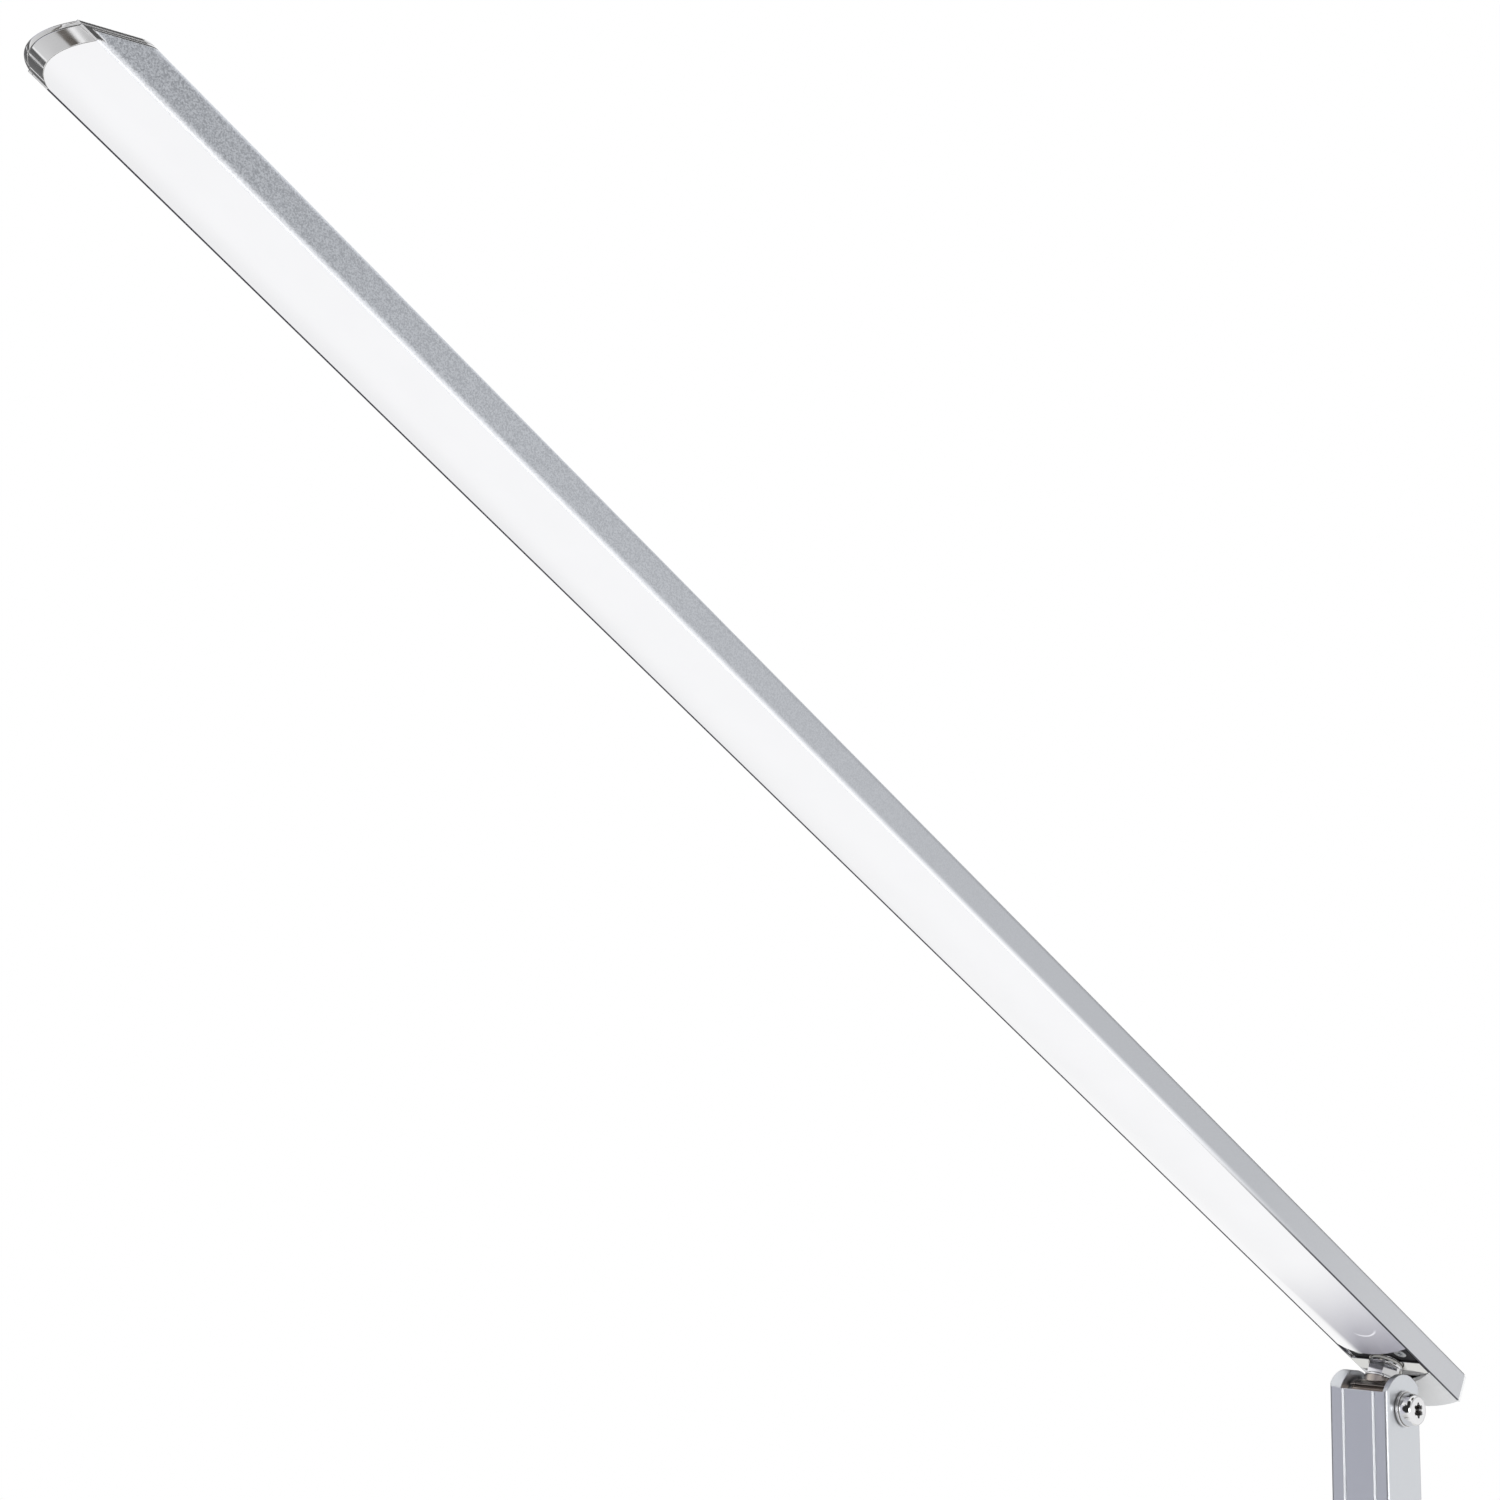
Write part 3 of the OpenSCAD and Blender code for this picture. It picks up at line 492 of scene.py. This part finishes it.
# Width in mm of the bevel on each node's sharp edges; the rest have none
SOFT_EDGES = {
    "post": 0.18, "foot_plug": 0.5, "foot_pad": 0.25, "foot_screws": 0.15,
    "cable_grommet": 0.2, "bolt_washer": 0.15, "hinge_bolt": 0.08, "thread_insert": 0.15,
    "friction_washers": 0.08, "knuckle": 0.12, "swivel_lock_nut": 0.12, "slide_washer": 0.1,
    "swivel_plate_screws": 0.1, "housing": 0.12, "diffuser": 0.1, "end_cover": 0.15,
    "end_cover_screws": 0.1, "tip_cap": 0.1, "tip_plate": 0.3,
}
SHARP_ANGLE = math.radians(35)
WELD = 0.002 * MM       # joins the vertices that the export split along edges


def soften(piece, width_mm):
    """Rounds the sharp edges and keeps the flats flat in shading."""
    weld = piece.modifiers.new("weld", "WELD")
    weld.merge_threshold = WELD
    bevel = piece.modifiers.new("soft_edges", "BEVEL")
    bevel.width = width_mm * MM
    bevel.segments = 2
    bevel.limit_method = "ANGLE"
    bevel.angle_limit = SHARP_ANGLE
    bevel.miter_outer = "MITER_ARC"
    bevel.harden_normals = False
    normals = piece.modifiers.new("flat_normals", "WEIGHTED_NORMAL")
    normals.keep_sharp = True


def dress_nodes(materials):
    for name, piece in NODES.items():
        material = materials[SLOT_OF[name]]
        if not piece.material_slots:
            piece.data.materials.append(material)
        for slot in piece.material_slots:
            slot.material = material
        if name in SOFT_EDGES:
            soften(piece, SOFT_EDGES[name])


# ---- New pieces: turned shapes on the post's axis, in mm ----

SIDES = 72      # facets around a turned piece

# Thread of the mounting stud: M10 x 1.5
CREST_R = 5.0
THREAD_DEPTH = 0.85
PITCH = 1.5
ROWS_PER_TURN = 10
RUN_OUT = 1.2           # where the thread fades into the foot and the end's chamfer
FLANK_SLOPE = 2.6       # thread depths climbed per pitch
ROOT_FLAT = 0.12        # thread depths that the flat root takes from the flank


def skin(rings):
    """Closed mesh through rings of SIDES (radius, height) points; the last joins the first."""
    mesh = bmesh.new()
    loops = []
    for ring in rings:
        loop = []
        for i, (radius, height) in enumerate(ring):
            turn = 2 * math.pi * i / SIDES
            loop.append(mesh.verts.new((radius * MM * math.cos(turn),
                                        radius * MM * math.sin(turn), height * MM)))
        loops.append(loop)
    for k, loop in enumerate(loops):
        following = loops[(k + 1) % len(loops)]
        for i in range(SIDES):
            j = (i + 1) % SIDES
            mesh.faces.new((loop[i], loop[j], following[j], following[i]))
    bmesh.ops.recalc_face_normals(mesh, faces=mesh.faces)
    return mesh


def lathe(outline):
    """Closed mesh from a closed (radius, height) outline turned about the Z axis."""
    return skin([[point] * SIDES for point in outline])


def post_piece(name, mesh, slot_name, materials, stands_for, smooth_angle=35):
    """A piece that rides on the post and stands for one of its CAD nodes."""
    mesh.normal_update()
    data = bpy.data.meshes.new(name)
    mesh.to_mesh(data)
    mesh.free()
    piece = bpy.data.objects.new(name, data)
    bpy.context.scene.collection.objects.link(piece)
    data.materials.append(materials[slot_name])
    data.shade_smooth()
    data.set_sharp_from_angle(angle=math.radians(smooth_angle))
    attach(piece, "post")
    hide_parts(stands_for)


def thread_radius(turns, height, length):
    """Radius of a threaded stud that hangs from height 0 down to -length."""
    phase = (height / PITCH - turns) % 1.0
    profile = min(1.0, max(0.0, abs(phase - 0.5) * FLANK_SLOPE - ROOT_FLAT))
    chamfer = CREST_R - max(0.0, RUN_OUT - (height + length))
    shoulder = CREST_R - THREAD_DEPTH * max(0.0, 1 + height / RUN_OUT)
    return min(CREST_R - THREAD_DEPTH * (1 - profile), chamfer, shoulder)


def threaded_stud(materials):
    """The hollow mounting stud with its real thread."""
    low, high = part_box("mounting_stud")
    length = -low.z / MM
    top = high.z / MM
    shank_r = high.x / MM - 0.4     # hidden in the foot
    shank_top_r = 4.8
    bore_r = 2.7
    rows = int(length / PITCH * ROWS_PER_TURN)
    rings = []
    for k in range(rows + 1):
        height = -length + length * k / rows
        rings.append([(thread_radius(i / SIDES, height, length), height) for i in range(SIDES)])
    for point in ((shank_r, 0.0), (shank_top_r, top), (bore_r, top), (bore_r, -length)):
        rings.append([point] * SIDES)
    post_piece("threaded_stud", skin(rings), "zinc_steel", materials, "mounting_stud", 50)


def plug_grip(bottom, top):
    """Outline of the plug's grip: ribs, a neck, the collars of its strain relief, a bore."""
    shoulder_r, grip_r, groove_r = 4.0, 4.3, 4.0
    rib_pitch, rib_count = 1.3, 5
    ribs_from = bottom + 1.6
    neck_r = 3.2
    neck = ribs_from + 7
    collar_pitch, collar_count, collar_step = 1.5, 3, 0.18
    slit_r = 2.35
    cable_r = 2.06
    outline = [(2.8, bottom), (shoulder_r, bottom), (grip_r, bottom + 0.4)]
    for k in range(rib_count):
        rib = ribs_from + rib_pitch * k
        outline += [(grip_r, rib), (groove_r, rib + 0.2), (groove_r, rib + 0.6),
                    (grip_r, rib + 0.8)]
    outline += [(grip_r - 0.05, neck - 0.3), (neck_r, neck)]
    for k in range(collar_count):
        collar = neck + 0.6 + collar_pitch * k
        radius = neck_r - collar_step * k
        outline += [(radius, collar), (slit_r, collar + 0.2), (slit_r, collar + 0.7),
                    (radius - collar_step, collar + 0.9)]
    return outline + [(2.6, top - 0.2), (2.3, top), (cable_r, top), (cable_r, top - 1.5),
                      (1.0, bottom + 1)]


def supply_plug(materials):
    """Barrel plug: nickel sleeve, black insulating bush and a ribbed grip."""
    low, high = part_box("supply_plug")
    start = low.z / MM
    barrel_length = 9.5
    sleeve_r = 2.75
    bush_r = 1.25
    pin_r = 1.05            # hole for the socket's centre pin
    grip_from = start + barrel_length
    inner_end = grip_from + 0.5
    sleeve = [(bush_r, start + 0.3), (1.9, start), (sleeve_r - 0.2, start),
              (sleeve_r, start + 0.25), (sleeve_r, inner_end), (bush_r, inner_end)]
    bush = [(pin_r, start + 0.05), (bush_r, start + 0.05), (bush_r, inner_end),
            (pin_r, inner_end)]
    grip = plug_grip(grip_from, high.z / MM)
    for name, outline, slot_name in (("plug_sleeve", sleeve, "polished_chrome"),
                                     ("plug_insulator", bush, "black_vinyl"),
                                     ("plug_grip", grip, "black_vinyl")):
        post_piece(name, lathe(outline), slot_name, materials, "supply_plug")


# ---- Floor, studio and camera ----

FLOOR_HALF = 1.1        # m
FLOOR_EVEN = 0.55       # m from the middle where the floor starts to fade out
FLOOR_Y = -0.2          # m, under the light bar's middle
FLOOR_GAP = 0.5 * MM    # below the object

BOUNCED_LIGHT = (0.80, 0.81, 0.84, 1)

# Greys that reflections meet to the left and to the right: straight down is 0, up is 1
LEFT_WALL = [
    (0.00, grey(0.95)), (0.066, grey(0.55)), (0.070, grey(0.6)), (0.073, grey(1.0)),
    (0.081, grey(1.0)), (0.084, grey(0.10, 0.1)), (0.108, grey(0.13, 0.1)), (0.116, grey(0.60)),
    (0.28, grey(0.72)), (0.288, grey(1.0)), (0.298, grey(1.0)), (0.306, grey(0.12)),
    (0.365, grey(0.15)), (0.372, grey(0.95)), (0.380, grey(0.95)), (0.388, grey(0.12)),
    (0.53, grey(0.16)), (0.537, grey(0.9)), (0.547, grey(0.9)), (0.555, grey(0.12)),
    (0.62, grey(0.16)), (0.66, grey(0.20)), (0.74, grey(0.95)), (1.00, grey(1.0)),
]
RIGHT_WALL = [
    (0.00, grey(0.9)), (0.30, grey(0.95)), (0.52, grey(0.92)), (0.72, grey(0.62)),
    (0.80, grey(0.60)), (0.88, grey(1.0)), (1.00, grey(1.0)),
]
# Round panels and dark flags in front of the walls, the last one on top:
# direction, half angle of the even part and of the whole in degrees, colour
PANELS = [
    ((-0.54, 0.48, -0.69), 28, 36, (0.78, 0.78, 0.75, 1)),
    ((-0.54, -0.84, -0.04), 22, 32, (0.64, 0.64, 0.71, 1)),
    ((0.25, -0.75, 0.62), 25, 30, (0.03, 0.03, 0.03, 1)),
    ((0.42, 0.10, 0.90), 12, 18, (0.06, 0.05, 0.04, 1)),
    ((0.02, -0.98, 0.08), 22, 27, (0.03, 0.03, 0.03, 1)),
    ((-0.36, 0.93, 0.08), 12, 18, (0.05, 0.05, 0.05, 1)),
    ((0.82, 0.28, 0.51), 6, 9, (0.10, 0.10, 0.10, 1)),
    ((0.54, -0.84, 0.0), 9, 15, (4.0, 4.0, 4.0, 1)),
]

LIT_POINT = (0, -0.15, 0.22)
# Name, place and size in m, power in W, colour
LIGHTS = [
    ("key", (1.4, -0.2, 0.9), (1.2, 1.2), 9, (1, 1, 1)),
    ("fill", (-1.0, -1.4, 0.8), (1.4, 1.0), 4, (0.93, 0.95, 1.0)),
    ("rim", (0.4, 1.5, 1.0), (1.2, 0.8), 6, (1, 1, 1)),
]

CAMERA_PLACE = Vector((354.23, -541.4, 215.42)) * MM
CAMERA_FORWARD = Vector((-0.74837, 0.62168, 0.23121)).normalized()
CAMERA_RIGHT = Vector((0.64659, 0.76149, 0.04533))      # made square to forward below
SENSOR_MM = 36
LENS_MM = 48.95
CAMERA_NEAR = 0.01      # m
CAMERA_FAR = 20         # m


def make_floor():
    """Pale floor that fades out to its rim and is clear from below."""
    mottle_mm = 40
    dark, light = (0.86, 0.86, 0.86, 1), (0.88, 0.88, 0.88, 1)
    low, _ = cad_box
    mesh = bmesh.new()
    bmesh.ops.create_grid(mesh, x_segments=2, y_segments=2, size=FLOOR_HALF)
    data = bpy.data.meshes.new("floor")
    mesh.to_mesh(data)
    mesh.free()
    floor = bpy.data.objects.new("floor", data)
    bpy.context.scene.collection.objects.link(floor)
    floor.location = (0, FLOOR_Y, low.z - FLOOR_GAP)
    floor.visible_glossy = False
    material, tree, surface, place = start_material("floor")
    feed(tree, surface.inputs["Base Color"],
         tint(tree, grain(tree, place, mottle_mm), dark, light))
    surface.inputs["Roughness"].default_value = 0.8
    reach = vector_calc(tree, "LENGTH", place, output="Value")
    rim = spread(tree, reach, FLOOR_EVEN, FLOOR_HALF)
    below = tree.nodes.new("ShaderNodeNewGeometry").outputs["Backfacing"]
    clear = calc(tree, "MAXIMUM", rim, below)
    feed(tree, surface.inputs["Alpha"], calc(tree, "SUBTRACT", 1.0, clear))
    data.materials.append(material)


def make_world():
    """White background; what metal reflects is a pale studio with panels and dark flags."""
    world = bpy.data.worlds.new("studio")
    bpy.context.scene.world = world
    world.use_nodes = True
    tree = world.node_tree
    tree.nodes.clear()
    output = tree.nodes.new("ShaderNodeOutputWorld")
    direction = tree.nodes.new("ShaderNodeTexCoord").outputs["Generated"]
    height = calc(tree, "MULTIPLY_ADD", dot(tree, direction, (0, 0, 1)), 0.5, 0.5)
    leftward = spread(tree, dot(tree, direction, ACROSS), 0.25, -0.25)
    studio = tint(tree, leftward, steps(tree, height, RIGHT_WALL), steps(tree, height, LEFT_WALL))
    for aim, even_angle, whole_angle, colour in PANELS:
        reach = dot(tree, direction, Vector(aim).normalized())
        on_panel = spread(tree, reach, math.cos(math.radians(whole_angle)),
                          math.cos(math.radians(even_angle)))
        studio = tint(tree, on_panel, studio, colour)
    path = tree.nodes.new("ShaderNodeLightPath")
    unseen = tint(tree, path.outputs["Is Glossy Ray"], BOUNCED_LIGHT, studio)
    colour = tint(tree, path.outputs["Is Camera Ray"], unseen, WHITE)
    background = add(tree, "Background", Color=colour, Strength=1.0)
    tree.links.new(background.outputs[0], output.inputs["Surface"])


def make_lights():
    """Large soft lamps that reflections don't show."""
    for name, place, size, power, colour in LIGHTS:
        light = bpy.data.lights.new(name, "AREA")
        light.shape = "RECTANGLE"
        light.size, light.size_y = size
        light.energy = power
        light.color = colour
        lamp = bpy.data.objects.new(name, light)
        bpy.context.scene.collection.objects.link(lamp)
        lamp.location = place
        aim = Vector(LIT_POINT) - Vector(place)
        lamp.rotation_mode = "QUATERNION"
        lamp.rotation_quaternion = aim.to_track_quat("-Z", "Y")
        lamp.visible_camera = False
        lamp.visible_glossy = False


def make_camera():
    camera = bpy.data.cameras.new("camera")
    camera.sensor_width = SENSOR_MM
    camera.lens = LENS_MM
    camera.clip_start = CAMERA_NEAR
    camera.clip_end = CAMERA_FAR
    holder = bpy.data.objects.new("camera", camera)
    bpy.context.scene.collection.objects.link(holder)
    sideways = CAMERA_RIGHT - CAMERA_FORWARD * CAMERA_RIGHT.dot(CAMERA_FORWARD)
    right = sideways.normalized()
    up = right.cross(CAMERA_FORWARD)
    turn = Matrix((right, up, -CAMERA_FORWARD)).transposed()
    holder.matrix_world = Matrix.Translation(CAMERA_PLACE) @ turn.to_4x4()
    bpy.context.scene.camera = holder


def main():
    bpy.context.scene.view_settings.view_transform = "Standard"
    materials = make_materials()
    dress_nodes(materials)
    threaded_stud(materials)
    supply_plug(materials)
    make_floor()
    make_world()
    make_lights()
    make_camera()


main()
